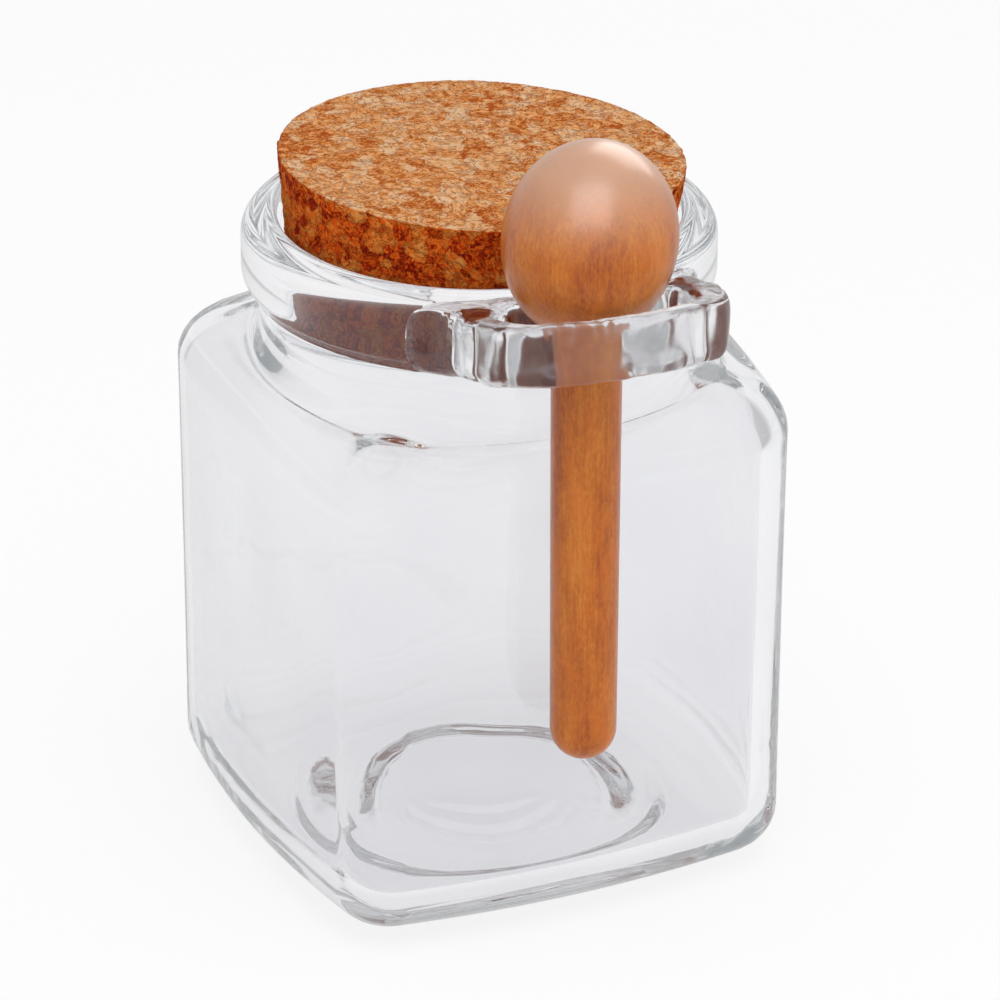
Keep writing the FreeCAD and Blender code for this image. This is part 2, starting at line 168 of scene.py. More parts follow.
def smooth_step(low, high, value):
    """Smooth share from 0 at low to 1 at high, where low may be the larger of the two."""
    share = np.clip((value - low) / (high - low), 0.0, 1.0)
    return share * share * (3.0 - 2.0 * share)


def quarter_turn(steps):
    return [math.pi / 2 * step / steps for step in range(1, steps + 1)]


def full_turn(steps):
    return np.linspace(0, 2 * math.pi, steps, endpoint=False)


def add_object(name, vertices, faces):
    """Smooth-shaded object from vertices in millimetres and faces."""
    mesh = bpy.data.meshes.new(name)
    mesh.from_pydata([tuple(MM * float(c) for c in vertex) for vertex in vertices], [], faces)
    mesh.validate()
    mesh.polygons.foreach_set("use_smooth", [True] * len(mesh.polygons))
    piece = bpy.data.objects.new(name, mesh)
    bpy.context.scene.collection.objects.link(piece)
    return piece


def face_outward(piece):
    work = bmesh.new()
    work.from_mesh(piece.data)
    bmesh.ops.recalc_face_normals(work, faces=work.faces)
    work.to_mesh(piece.data)
    work.free()


def spin_grid(rings, first_pole, last_pole):
    """Vertices and faces of a closed skin through rings of equal count, with a pole at each end."""
    count = len(rings[0])
    last = 1 + (len(rings) - 1) * count
    vertices = [first_pole]
    for ring in rings:
        vertices.extend(ring)
    vertices.append(last_pole)
    faces = []
    for index in range(count):
        following = (index + 1) % count
        faces.append((0, 1 + following, 1 + index))
        faces.append((len(vertices) - 1, last + index, last + following))
    for level in range(len(rings) - 1):
        low = 1 + level * count
        high = low + count
        for index in range(count):
            following = (index + 1) % count
            faces.append((low + index, low + following, high + following, high + index))
    return vertices, faces


def unite(piece, other):
    """Join another object's mesh to the piece as one skin, and remove the other object."""
    join = piece.modifiers.new("join", "BOOLEAN")
    join.operation = "UNION"
    join.solver = "EXACT"
    join.object = other
    graph = bpy.context.evaluated_depsgraph_get()
    mesh = bpy.data.meshes.new_from_object(piece.evaluated_get(graph))
    piece.modifiers.clear()
    piece.data = mesh
    bpy.data.objects.remove(other)


def clean_skin(piece):
    """Merge the points that a join doubled, and drop those that only split the edge between two faces."""
    nearness = 0.002 * MM
    work = bmesh.new()
    work.from_mesh(piece.data)
    bmesh.ops.remove_doubles(work, verts=work.verts, dist=nearness)
    bmesh.ops.dissolve_degenerate(work, edges=work.edges, dist=nearness)
    between = [point for point in work.verts if len(point.link_edges) == 2]
    bmesh.ops.dissolve_verts(work, verts=between)
    work.to_mesh(piece.data)
    work.free()


# ---------------------------------------------------------------- square outlines

def bow_radius():
    corner = HALF_BODY - SIDE_BULGE
    return (corner ** 2 + SIDE_BULGE ** 2) / (2 * SIDE_BULGE)


def corner_centre(bow, back, radius):
    return (-back + math.sqrt(2 * (bow - radius) ** 2 - back ** 2)) / 2
def fold(angles):
    """Angle from the middle of the nearest side: 0 there, and an eighth of a turn at the corners."""
    return np.abs((angles + math.pi / 4) % (math.pi / 2) - math.pi / 4)

def square_reach(angles, inset, centre_radius):
    """Distance from the axis to the bowed square, set in by inset.

    centre_radius is the corner radius of the same square at no inset, which fixes the corner's middle."""
    bow = bow_radius()
    back = bow - HALF_BODY
    centre = corner_centre(bow, back, centre_radius)
    small = max(centre_radius - inset, SMALLEST_CORNER)
    big = bow - inset
    folded = fold(angles)
    meet = math.atan2(centre * big / (big - small), (centre + back) * big / (big - small) - back)
    side = -back * np.cos(folded) + np.sqrt(big ** 2 - (back * np.sin(folded)) ** 2)
    along = centre * (np.cos(folded) + np.sin(folded))
    corner = along + np.sqrt(np.maximum(along ** 2 - 2 * centre ** 2 + small ** 2, 0.0))
    return np.where(folded <= meet, side, corner)


def outline_angles(side_steps, corner_steps):
    """Polar angles, close together at the corners."""
    bow = bow_radius()
    back = bow - HALF_BODY
    centre = corner_centre(bow, back, CORNER_RADIUS)
    scale = bow / (bow - CORNER_RADIUS)
    meet = math.atan2(centre * scale, (centre + back) * scale - back)
    side = np.linspace(0.0, meet, side_steps, endpoint=False)
    corner = np.linspace(meet, math.pi / 4, corner_steps, endpoint=False)
    octant = np.concatenate([side, corner])
    second_octant = math.pi / 2 - octant[:0:-1]
    quarter = np.concatenate([octant, [math.pi / 4], second_octant])
    return np.concatenate([quarter + turn * math.pi / 2 for turn in range(4)])


# ---------------------------------------------------------------- glass jar
# A ring is a reach and a height, and each may be one number or one for every angle.

ANGLES = outline_angles(15, 11)


def ring_at(reach, height):
    reach = np.broadcast_to(reach, ANGLES.shape)
    height = np.broadcast_to(height, ANGLES.shape)
    return [(r * math.cos(a), r * math.sin(a), z) for r, a, z in zip(reach, ANGLES, height)]


def taper(height):
    return 1.0 - FOOT_TAPER * (1.0 - min(height / SHOULDER_FOOT, 1.0))


def wave_share(height, low, high):
    """Share of the waves in an upright wall from low to high, which die away towards its ends."""
    return smooth_step(low, low + WAVE_FADE_LOW, height) * smooth_step(0, WAVE_FADE_HIGH, high - height)


def wave(reach, height, share, seed, strength):
    """Reach with the slow unevenness of pressed glass."""
    uneven = []
    for r, a in zip(reach, ANGLES):
        spot = Vector((r * math.cos(a), r * math.sin(a), height * WAVE_STRETCH + seed)) / WAVE_SIZE
        uneven.append(noise.noise(spot) * strength)
    return reach * (1 - share) + (reach + np.array(uneven)) * share


def corner_ripple(height):
    """Finer waves low in the inner corners, added to the reach."""
    at_corner = np.exp(-((math.pi / 4 - fold(ANGLES)) / CORNER_SPREAD) ** 2)
    low = float(smooth_step(CORNER_RIPPLE_TOP, CORNER_RIPPLE_FULL, height))
    return CORNER_RIPPLE * low * at_corner * noise.noise(Vector((0.0, 5.0, height / CORNER_RIPPLE_SIZE)))


def corner_pocket(reach):
    """Height of the shallow dome pressed up into the shoulder over each corner."""
    across = np.abs(reach * np.cos(ANGLES)) - POCKET_PLACE
    along = np.abs(reach * np.sin(ANGLES)) - POCKET_PLACE
    inside = np.clip(1.0 - (across ** 2 + along ** 2) / POCKET_RADIUS ** 2, 0.0, 1.0)
    return POCKET_HEIGHT * inside ** 1.5


def punt_height(reach):
    """Height of the underside: the hollow, and the rippled slope from it down to the ring."""
    rise = PUNT_DEPTH * float(smooth_step(0.0, 1.0, (PUNT_RADIUS - reach) / PUNT_BAND))
    if not PUNT_RADIUS - PUNT_BAND < reach < PUNT_RADIUS:
        return rise
    spots = [Vector((reach * math.cos(a), reach * math.sin(a), 9)) / PUNT_RIPPLE_SIZE for a in ANGLES]
    return rise + np.maximum([PUNT_RIPPLE * noise.noise(spot) for spot in spots], 0.0)


def s_curve(start_reach, start_height, end_reach, end_height, knee_height, first_share, steps):
    """Rings of a rounded shoulder and the hollow above it, for every angle."""
    gap = start_reach - end_reach
    first = gap * first_share
    second = gap - first
    rings = []
    for turn in quarter_turn(steps):
        reach = start_reach - first * (1 - math.cos(turn))
        rings.append((reach, start_height + (knee_height - start_height) * math.sin(turn)))
    for turn in quarter_turn(steps):
        reach = start_reach - first - second * math.sin(turn)
        rings.append((reach, knee_height + (end_height - knee_height) * (1 - math.cos(turn))))
    return rings


def base_rings():
    """The hollow, the ring that the jar stands on and the flat base round it."""
    middle = np.linspace(2.5, PUNT_RADIUS - PUNT_BAND, 6)
    slope = PUNT_RADIUS - np.linspace(PUNT_BAND, 0.0, 13)[1:]
    rings = [(reach, punt_height(reach)) for reach in np.concatenate([middle, slope])]
    for share in (0.12, 0.3, 0.5, 0.7, 0.88, 1.0):
        rings.append((PUNT_RADIUS + BEAD_SLOPE * share, BEAD_HEIGHT * float(smooth_step(0.0, 1.0, share))))
    ground = square_reach(ANGLES, FOOT_ROUND, CORNER_RADIUS) * taper(0)
    for share in (0.4, 1.0):
        rings.append(((PUNT_RADIUS + BEAD_SLOPE) * (1 - share) + ground * share, BEAD_HEIGHT))
    return rings


def side_rings():
    """Rounded foot, upright sides and shoulder."""
    rings = []
    for turn in quarter_turn(9):
        inset = FOOT_ROUND * (1 - math.sin(turn))
        height = BEAD_HEIGHT + (FOOT_ROUND - BEAD_HEIGHT) * (1 - math.cos(turn))
        rings.append((square_reach(ANGLES, inset, CORNER_RADIUS) * taper(height), height))
    plain = square_reach(ANGLES, 0.0, CORNER_RADIUS)
    for height in np.linspace(FOOT_ROUND, SHOULDER_FOOT, 18)[1:]:
        waves = wave_share(height, FOOT_ROUND, SHOULDER_FOOT)
        reach = wave(plain * taper(height), height, waves, 0.0, OUTER_WAVE)
        rings.append((reach - OUTER_SETBACK * waves, height))
    share = SHOULDER_SHARE + SHOULDER_CORNER_SHARE * (fold(ANGLES) / (math.pi / 4))
    rings.extend(s_curve(plain, SHOULDER_FOOT, NECK_RADIUS, NECK_FOOT, SHOULDER_KNEE, share, 8))
    return rings


def collar_rings():
    """Neck, collar and the outer half of the rim."""
    flare = ((0.0, 0.0), (0.25, 1.5), (0.75, 2.9))
    rings = [(NECK_RADIUS + wider, NECK_TOP + higher) for wider, higher in flare]
    for turn in quarter_turn(5):
        rings.append((COLLAR_RADIUS - COLLAR_LOWER_INSET * (1 - math.sin(turn)),
                      COLLAR_BOTTOM + COLLAR_LOWER_ROUND * (1 - math.cos(turn))))
    upright_end = COLLAR_TOP - COLLAR_UPPER_ROUND
    for height in np.linspace(COLLAR_BOTTOM + COLLAR_LOWER_ROUND, upright_end, 8)[1:]:
        rings.append((COLLAR_RADIUS, height))
    for turn in quarter_turn(6):
        rings.append((COLLAR_RADIUS - COLLAR_UPPER_ROUND * (1 - math.cos(turn)),
                      upright_end + COLLAR_UPPER_ROUND * math.sin(turn)))
    rings.extend([(MOUTH_RADIUS + 1.55, RIM_TOP - 0.35), (MOUTH_RADIUS + 0.95, RIM_TOP - 0.05)])
    return rings


def bore_rings():
    """Inner half of the rim and the tapered mouth."""
    rings = [(MOUTH_RADIUS + 0.45, RIM_TOP - 0.05), (MOUTH_RADIUS + 0.12, RIM_TOP - 0.35),
             (MOUTH_RADIUS, BORE_TOP)]
    for height in np.linspace(BORE_TOP, BORE_FOOT, 12)[1:]:
        share = (BORE_TOP - height) / (BORE_TOP - BORE_FOOT)
        rings.append((MOUTH_RADIUS + (BORE_FOOT_RADIUS - MOUTH_RADIUS) * share, height))
    return rings


def room_rings():
    """Ceiling, upright inner walls, rounded foot and domed floor."""
    wall = square_reach(ANGLES, WALL, INNER_CORNER_RADIUS + WALL)
    slope = s_curve(wall, WALL_TOP, BORE_FOOT_RADIUS, BORE_FOOT, CEILING_HEIGHT, CEILING_SHARE, 18)[:-1]
    rings = [(reach, height + corner_pocket(reach)) for reach, height in reversed(slope)]
    rings.append((wall, WALL_TOP))
    foot = FLOOR_HEIGHT + INNER_FOOT_ROUND
    for height in np.linspace(WALL_TOP, foot, 44)[1:]:
        reach = wave(wall * taper(height), height, wave_share(height, foot, WALL_TOP), 40.0, INNER_WAVE)
        rings.append((reach + corner_ripple(height), height))
    for turn in quarter_turn(9):
        inset = INNER_FOOT_ROUND * (1 - math.cos(turn))
        height = foot - INNER_FOOT_ROUND * math.sin(turn)
        rings.append((square_reach(ANGLES, WALL + inset, INNER_CORNER_RADIUS + WALL) * taper(height), height))
    edge = rings[-1][0]
    for share in (0.5, 1.0):
        rings.append((edge * (1 - share) + FLOOR_EDGE * share, FLOOR_HEIGHT))
    for reach in np.linspace(PUNT_RADIUS, 2.0, 18):
        rise = float(smooth_step(0.0, PUNT_RADIUS, PUNT_RADIUS - reach))
        rings.append((reach, FLOOR_HEIGHT + FLOOR_DOME * rise))
    return rings


def make_jar_body():
    rings = base_rings() + side_rings() + collar_rings() + bore_rings() + room_rings()
    vertices, faces = spin_grid([ring_at(reach, height) for reach, height in rings],
                                (0, 0, PUNT_DEPTH), (0, 0, FLOOR_HEIGHT + FLOOR_DOME))
    piece = add_object("jar_glass", vertices, faces)
    face_outward(piece)
    return piece


# ---------------------------------------------------------------- glass loop
# Its outlines are seen from above with the loop pointing to +y; make_loop turns them to the front.


def rounded_end(half_width, front, bow, corner):
    """Right half of an outline's bowed front and round corner, as a dense line."""
    radius = (half_width ** 2 + bow ** 2) / (2 * bow)
    centre = front - radius
    inner = radius - corner
    middle_x = half_width - corner
    middle_y = centre + math.sqrt(inner ** 2 - middle_x ** 2)
    meet = math.atan2(middle_x, middle_y - centre)
    line = []
    for angle in np.linspace(0, meet, 30):
        line.append((radius * math.sin(angle), centre + radius * math.cos(angle)))
    for angle in np.linspace(meet, math.pi / 2, 20)[1:]:
        line.append((middle_x + corner * math.sin(angle), middle_y + corner * math.cos(angle)))
    return line


def polar_reach(line, middle):
    """Distance from middle to a star-shaped closed line, as a function of the polar angle."""
    points = np.array(line) - np.array(middle)
    angles = np.unwrap(np.arctan2(points[:, 1], points[:, 0]))
    order = np.argsort(angles)
    reach = np.hypot(points[:, 0], points[:, 1])
    return lambda wanted: np.interp(wanted, angles[order], reach[order], period=2 * math.pi)


def mirrored(line):
    return line + [(-x, y) for x, y in reversed(line)]


def loop_outlines():
    """Middle of the hole, and the reach of the loop and of its hole from there."""
    middle = (0.0, 0.5 * (HOLE_FRONT + HOLE_REAR))
    outer = rounded_end(LOOP_HALF_WIDTH, LOOP_FRONT, LOOP_FRONT_BOW, LOOP_CORNER)
    outer += [(LOOP_HALF_WIDTH + wider, y) for wider, y in LOOP_FLARE]
    buried = COLLAR_RADIUS - LOOP_BURIAL
    start = math.asin((LOOP_HALF_WIDTH - 0.5) / buried)
    for angle in np.linspace(start, 0, 12):
        outer.append((buried * math.sin(angle), buried * math.cos(angle)))
    hole = rounded_end(HOLE_HALF_WIDTH, HOLE_FRONT, HOLE_FRONT_BOW, HOLE_CORNER)
    for angle in np.linspace(0, math.pi / 2, 10):
        hole.append((HOLE_HALF_WIDTH - HOLE_REAR_CORNER + HOLE_REAR_CORNER * math.cos(angle),
                     HOLE_REAR + HOLE_REAR_CORNER - HOLE_REAR_CORNER * math.sin(angle)))
    hole.append((0.0, HOLE_REAR))
    shifted = [(x + LOOP_SHIFT, y) for x, y in mirrored(outer)]
    return middle, polar_reach(shifted, middle), polar_reach(mirrored(hole), middle)


def squared(value):
    """A circle's cosine or sine, pushed out towards a square's."""
    return math.copysign(abs(value) ** (2 / LOOP_SQUARENESS), value)


def loop_swell(x, y, z, cosine, sine):
    """Unevenness of the cast loop, with finer ridges in its front, where the stick shows through."""
    spot = Vector((x, y, z))
    swell = 0.22 * noise.noise(spot / 4.0) + 0.07 * noise.noise(spot / 1.5)
    if y > LOOP_WINDOW_REAR and cosine > 0:
        window = float(smooth_step(7.5, 4.0, abs(x - SPOON_X + 1.5)))
        swell += 0.24 * window * noise.noise(Vector((x / 0.9, y / 3, z / 3.2))) * max(sine, 0.0)
    return swell


def loop_section(near, far, direction, steps):
    """Vertices of the loop's squared section between a point of the hole and one of the outline."""
    half_width = np.linalg.norm(far - near) / 2
    centre = (near + far) / 2
    vertices = []
    for spin in full_turn(steps):
        cosine = squared(math.cos(spin))
        sine = squared(math.sin(spin))
        x, y = centre + direction * half_width * cosine
        root = 1 - float(smooth_step(LOOP_ROOT_REAR, LOOP_ROOT_FRONT, y))
        thickness = LOOP_THICKNESS + LOOP_ROOT_EXTRA * root
        top = LOOP_TOP - LOOP_RISE * (LOOP_FRONT - y) - LOOP_ROOT_DROP * root
        z = top - thickness / 2 + thickness / 2 * sine
        swell = loop_swell(x, y, z, cosine, sine)
        x += direction[0] * swell * cosine
        y += direction[1] * swell * cosine
        vertices.append((x * math.cos(LOOP_TURN) + y * math.sin(LOOP_TURN),
                         x * math.sin(LOOP_TURN) - y * math.cos(LOOP_TURN), z + swell * sine))
    return vertices


def make_loop():
    """Closed ring of glass round the spoon's hole; its rear is buried in the collar."""
    middle, outer_reach, hole_reach = loop_outlines()
    around = 240
    section = 48
    vertices = []
    for turn in full_turn(around):
        direction = np.array((math.cos(turn), math.sin(turn)))
        near = np.array(middle) + direction * float(hole_reach(turn))
        far = np.array(middle) + direction * float(outer_reach(turn))
        vertices.extend(loop_section(near, far, direction, section))
    faces = []
    for index in range(around):
        here = index * section
        there = (index + 1) % around * section
        for step in range(section):
            after = (step + 1) % section
            faces.append((here + step, there + step, there + after, here + after))
    piece = add_object("loop_glass", vertices, faces)
    face_outward(piece)
    return piece


def make_glass():
    jar = make_jar_body()
    unite(jar, make_loop())
    clean_skin(jar)
    return jar


# ---------------------------------------------------------------- cork

def chip_relief(spot, size, seed):
    """Depth of a cork chip's tilted face at a spot, from 0 to about 1, and the chip's random value."""
    place = spot / size + Vector((seed, 0, 0))
    _, points = noise.voronoi(place)
    centre = points[0]
    value = abs(noise.cell(centre * 7.31))
    lean = noise.cell_vector(centre * 3.17) - Vector((0.5, 0.5, 0.5))
    return 0.5 * value + lean.dot(place - centre) * 1.1 + 0.25, value


def cork_dent(spot, on_side):
    """How deep the cork's surface lies below its plain form; the side also has chips missing."""
    large, value = chip_relief(spot, CHIP_SIZE, 0.0)
    small, _ = chip_relief(spot, CRUMB_SIZE, 40.0)
    if on_side:
        dent = 0.22 * large + 0.16 * small + 0.30 * float(smooth_step(0.80, 0.90, value))
    else:
        dent = 0.13 * large + 0.10 * small + 0.03 * noise.noise(spot * 2.4)
    return max(dent, 0.0)


def cork_rings():
    """Radius, height over the rim and share of sideways relief, from the foot's middle to the top's."""
    top = CORK_HEIGHT - CORK_INSERT
    rings = [(CORK_BOTTOM_RADIUS * share, -CORK_INSERT, 0.0) for share in np.linspace(0.05, 0.985, 14)]
    rings.append((CORK_BOTTOM_RADIUS - 0.15, -CORK_INSERT + 0.15, 0.0))
    for share in np.linspace(0.015, 0.985, 60):
        radius = CORK_BOTTOM_RADIUS + (CORK_TOP_RADIUS - CORK_BOTTOM_RADIUS) * share
        rings.append((radius, -CORK_INSERT + CORK_HEIGHT * share, 1.0))
    rings.append((CORK_TOP_RADIUS - 0.12, top - 0.12, 0.5))
    rings.extend((CORK_TOP_RADIUS * share, top, 0.0) for share in np.linspace(0.988, 0.02, 86))
    return rings


def make_cork():
    turns = full_turn(400)
    loops = []
    for radius, height, sideways in cork_rings():
        upward = Vector((0, 0, 1.0 if height > 0 else -1.0))
        ring = []
        for turn in turns:
            outward = Vector((math.cos(turn), math.sin(turn), 0))
            spot = outward * radius + Vector((0, 0, height))
            inward = -outward * sideways - upward * (1 - sideways)
            ring.append(spot + inward * cork_dent(spot, sideways > 0.4))
        loops.append(ring)
    vertices, faces = spin_grid(loops, (0, 0, -CORK_INSERT + 0.1), (0, 0, CORK_HEIGHT - CORK_INSERT - 0.1))
    piece = add_object("cork", vertices, faces)
    face_outward(piece)
    piece.data.transform(Matrix.Translation((0, 0, RIM_TOP * MM)) @ Matrix.Rotation(CORK_TILT, 4, "Y"))
    return piece


# ---------------------------------------------------------------- spoon

def make_stick():
    tip = SPOON_LOW.z
    end = HEAD_HEIGHT - STICK_BURIAL
    length = end - tip - TIP_RADIUS
    rings = []
    for turn in quarter_turn(12):
        rings.append((TIP_RADIUS * math.sin(turn), tip + TIP_RADIUS * (1 - math.cos(turn))))
    for share in np.linspace(0, 1, 40)[1:]:
        rings.append((TIP_RADIUS + (STICK_RADIUS - TIP_RADIUS) * share, tip + TIP_RADIUS + length * share))
    loops = []
    for radius, height in rings:
        loops.append([(SPOON_X + radius * math.cos(turn), SPOON_Y + radius * math.sin(turn), height)
                      for turn in full_turn(72)])
    vertices, faces = spin_grid(loops, (SPOON_X, SPOON_Y, tip), (SPOON_X, SPOON_Y, end))
    piece = add_object("spoon_stick", vertices, faces)
    face_outward(piece)
    return piece


def make_head():
    mesh = bpy.data.meshes.new("spoon_head")
    work = bmesh.new()
    bmesh.ops.create_uvsphere(work, u_segments=96, v_segments=64, radius=1.0)
    work.to_mesh(mesh)
    work.free()
    mesh.polygons.foreach_set("use_smooth", [True] * len(mesh.polygons))
    size = Matrix.Diagonal((HEAD_RADIUS * MM, HEAD_RADIUS * MM, HEAD_HALF_LENGTH * MM, 1.0))
    place = Matrix.Translation((MM * (SPOON_X + HEAD_SHIFT), MM * SPOON_Y, MM * HEAD_HEIGHT))
    mesh.transform(place @ Matrix.Rotation(HEAD_LEAN, 4, "Y") @ size)
    piece = bpy.data.objects.new("spoon_head", mesh)
    bpy.context.scene.collection.objects.link(piece)
    return piece


def make_spoon():
    stick = make_stick()
    spoon = make_head()
    unite(spoon, stick)
    spoon.name = "spoon"
    return spoon


# ---------------------------------------------------------------- materials

def new_material(name):
    material = bpy.data.materials.new(name)
    material.use_nodes = True
    tree = material.node_tree
    tree.nodes.clear()
    output = tree.nodes.new("ShaderNodeOutputMaterial")
    return material, tree, output


def colour(red, green, blue):
    """Linear colour from 8-bit sRGB values."""
    linear = []
    for part in (red, green, blue):
        part /= 255
        linear.append(part / 12.92 if part <= 0.04045 else ((part + 0.055) / 1.055) ** 2.4)
    return (*linear, 1.0)


def grey(value):
    return (value, value, value, 1.0)


def connect(tree, socket, value):
    """Give a socket a constant, or link it to another node's output."""
    if isinstance(value, (int, float, tuple)):
        socket.default_value = value
    else:
        tree.links.new(value, socket)


def add_node(tree, kind, inputs):
    """New node; inputs maps a socket's name or number to a constant or to another node's output."""
    node = tree.nodes.new(kind)
    for socket, value in inputs.items():
        connect(tree, node.inputs[socket], value)
    return node


def add_math(tree, operation, first, second=0.0):
    node = tree.nodes.new("ShaderNodeMath")
    node.operation = operation
    for socket, value in zip(node.inputs, (first, second)):
        connect(tree, socket, value)
    return node.outputs["Value"]


def add_sum(tree, *parts):
    """Sum of sources, each paired with its weight."""
    total = None
    for source, weight in parts:
        term = add_math(tree, "MULTIPLY", source, weight)
        total = term if total is None else add_math(tree, "ADD", total, term)
    return total


def add_range(tree, value, low, high, bottom=0.0, top=1.0, kind="LINEAR"):
    """Value at low becomes bottom and at high becomes top, and stays between them."""
    node = add_node(tree, "ShaderNodeMapRange", {"Value": value, "From Min": low, "From Max": high,
                                                 "To Min": bottom, "To Max": top})
    node.interpolation_type = kind
    return node.outputs["Result"]


def add_axes(tree, vector):
    return add_node(tree, "ShaderNodeSeparateXYZ", {0: vector}).outputs


def add_ramp(tree, source, stops):
    ramp = add_node(tree, "ShaderNodeValToRGB", {"Fac": source})
    elements = ramp.color_ramp.elements
    while len(elements) < len(stops):
        elements.new(0.5)
    for element, (place, shade) in zip(elements, stops):
        element.position = place
        element.color = shade
    return ramp.outputs["Color"]


def mix_colour(tree, share, first, second):
    mix = tree.nodes.new("ShaderNodeMix")
    mix.data_type = "RGBA"
    for socket, value in ((0, share), (6, first), (7, second)):
        connect(tree, mix.inputs[socket], value)
    return mix.outputs[2]


def add_noise(tree, vector, scale, detail=2.0, roughness=0.5, output="Fac"):
    return add_node(tree, "ShaderNodeTexNoise", {"Vector": vector, "Scale": scale, "Detail": detail,
                                                 "Roughness": roughness}).outputs[output]


def add_mapping(tree, vector, scale):
    return add_node(tree, "ShaderNodeMapping", {"Vector": vector, "Scale": scale}).outputs["Vector"]


def add_cells(tree, vector, scale, feature="F1"):
    cells = add_node(tree, "ShaderNodeTexVoronoi", {"Vector": vector})
    cells.feature = feature
    cells.inputs["Scale"].default_value = scale
    return cells.outputs


def add_bump(tree, height, strength, distance):
    return add_node(tree, "ShaderNodeBump", {"Height": height, "Strength": strength,
                                             "Distance": distance}).outputs["Normal"]


def object_place(tree):
    return tree.nodes.new("ShaderNodeTexCoord").outputs["Object"]


GLASS_DARK = (0.880, 0.880, 0.905, 1)
GLASS_PALE = (0.940, 0.940, 0.950, 1)


def glass_tint(tree, place, height):
    """Faint grey, a little cloudy, with painted shade that makes it darker towards the foot and lighter
    higher up.
    """
    # Painted shade: the grey darkens towards the glass's foot and lightens higher up.
    raised = add_range(tree, height, 0.002, 0.066, top=0.5)
    cloud = add_range(tree, add_noise(tree, place, 42.0, 1.0), 0.36, 0.64, top=0.5)
    return mix_colour(tree, add_math(tree, "ADD", raised, cloud), GLASS_DARK, GLASS_PALE)


def loop_roughness(tree, place, axes):
    """Uneven dullness of the loop alone, which lies in front of the collar and above its foot."""
    ahead = add_range(tree, axes["Y"], -0.033, -0.037)
    raised = add_math(tree, "GREATER_THAN", axes["Z"], 0.080)
    uneven = add_math(tree, "MULTIPLY", add_noise(tree, place, 300.0, 2.0), 0.26)
    return add_math(tree, "MULTIPLY", add_math(tree, "MULTIPLY", ahead, raised), uneven)


def glass_material():
    material, tree, output = new_material("clear_glass")
    place = object_place(tree)
    axes = add_axes(tree, place)
    shader = add_node(tree, "ShaderNodeBsdfPrincipled", {
        "Base Color": glass_tint(tree, place, axes["Z"]), "Roughness": loop_roughness(tree, place, axes),
        "IOR": 1.5, "Transmission Weight": 1.0,
        "Normal": add_bump(tree, add_noise(tree, place, 60.0, 1.0), 0.3, 0.0004)})
    tree.links.new(shader.outputs["BSDF"], output.inputs["Surface"])
    absorb = add_node(tree, "ShaderNodeVolumeAbsorption", {"Color": (0.82, 0.87, 0.88, 1), "Density": 5.0})
    tree.links.new(absorb.outputs["Volume"], output.inputs["Volume"])
    return material


CORK_CELLS = 430.0              # chips and crumbs per metre in the cork's colour
CORK_CRUMBS = 1100.0
# Lit and shaded copies of one cork: the top's paler stops are painted light, the side's darker, redder stops
# are painted shade.
CORK_LIT_TOP_STOPS = ((0.385, (196, 84, 8)), (0.42, (232, 136, 54)), (0.46, (246, 165, 92)),
                  (0.50, (252, 184, 118)), (0.55, (254, 200, 144)), (0.60, (255, 212, 164)),
                  (0.66, (255, 222, 186)))
CORK_SHADED_SIDE_STOPS = ((0.40, (150, 26, 0)), (0.44, (224, 72, 4)), (0.475, (248, 98, 16)), (0.51, (254, 116, 30)),
                   (0.55, (255, 132, 44)), (0.60, (255, 152, 64)), (0.66, (255, 176, 94)))
WOOD_STOPS = ((0.38, (156, 66, 2)), (0.46, (186, 94, 8)), (0.53, (202, 111, 18)), (0.62, (220, 137, 46)))


def coloured(stops):
    return [(place, colour(*shade)) for place, shade in stops]


def ragged_place(tree, place):
    """Place shifted by fine noise, so that the chips have ragged outlines."""
    shift = add_noise(tree, place, 900.0, 4.0, 0.6, "Color")
    spread = add_node(tree, "ShaderNodeVectorMath", {0: shift, 1: (0.0014, 0.0014, 0.0014)})
    spread.operation = "MULTIPLY_ADD"
    tree.links.new(place, spread.inputs[2])
    return spread.outputs["Vector"]


def cork_line(tree, place, ragged, turned):
    """Share of the dark broken seams between chips, and of the thin cracks in them."""
    seam = add_cells(tree, ragged, CORK_CELLS, "DISTANCE_TO_EDGE")["Distance"]
    seam = add_range(tree, seam, 0.09, 0.02)
    broken = add_math(tree, "GREATER_THAN", add_noise(tree, place, 700.0, 2.0), 0.50)
    seam = add_math(tree, "MULTIPLY", seam, broken)
    grain = add_noise(tree, add_mapping(tree, turned, (0.8, 2.0, 2.0)), 420.0, 4.0, 0.62)
    crack = add_math(tree, "ABSOLUTE", add_math(tree, "SUBTRACT", grain, 0.5))
    crack = add_range(tree, crack, 0.030, 0.006)
    return add_math(tree, "MAXIMUM", add_math(tree, "MULTIPLY", seam, 0.55), crack)


def cork_colour(tree, place, tone, line):
    """Paler top colours where the surface looks up, which are painted light, darker side colours elsewhere,
    which are painted shade, and a darker painted shade below the rim.
    """
    # The top's paler colours are painted light and the side's darker colours are painted shade.
    top = mix_colour(tree, add_math(tree, "MULTIPLY", line, 0.90),
                     add_ramp(tree, tone, coloured(CORK_LIT_TOP_STOPS)), colour(172, 66, 4))
    side = mix_colour(tree, add_math(tree, "MULTIPLY", line, 0.65),
                      add_ramp(tree, tone, coloured(CORK_SHADED_SIDE_STOPS)), colour(88, 8, 0))
    normal = tree.nodes.new("ShaderNodeNewGeometry").outputs["Normal"]
    # Where the surface faces up it takes the painted light of the top, elsewhere the painted shade of the
    # side.
    upward = add_range(tree, add_axes(tree, normal)["Z"], 0.66, 0.86)
    shade = mix_colour(tree, upward, side, top)
    # Painted shade: the cork turns darker below the glass rim, where the neck shades it.
    painted_shade_below_rim = add_range(tree, add_axes(tree, place)["Z"], 0.0905, 0.0885, top=0.55)
    return mix_colour(tree, painted_shade_below_rim, shade, colour(128, 34, 8))


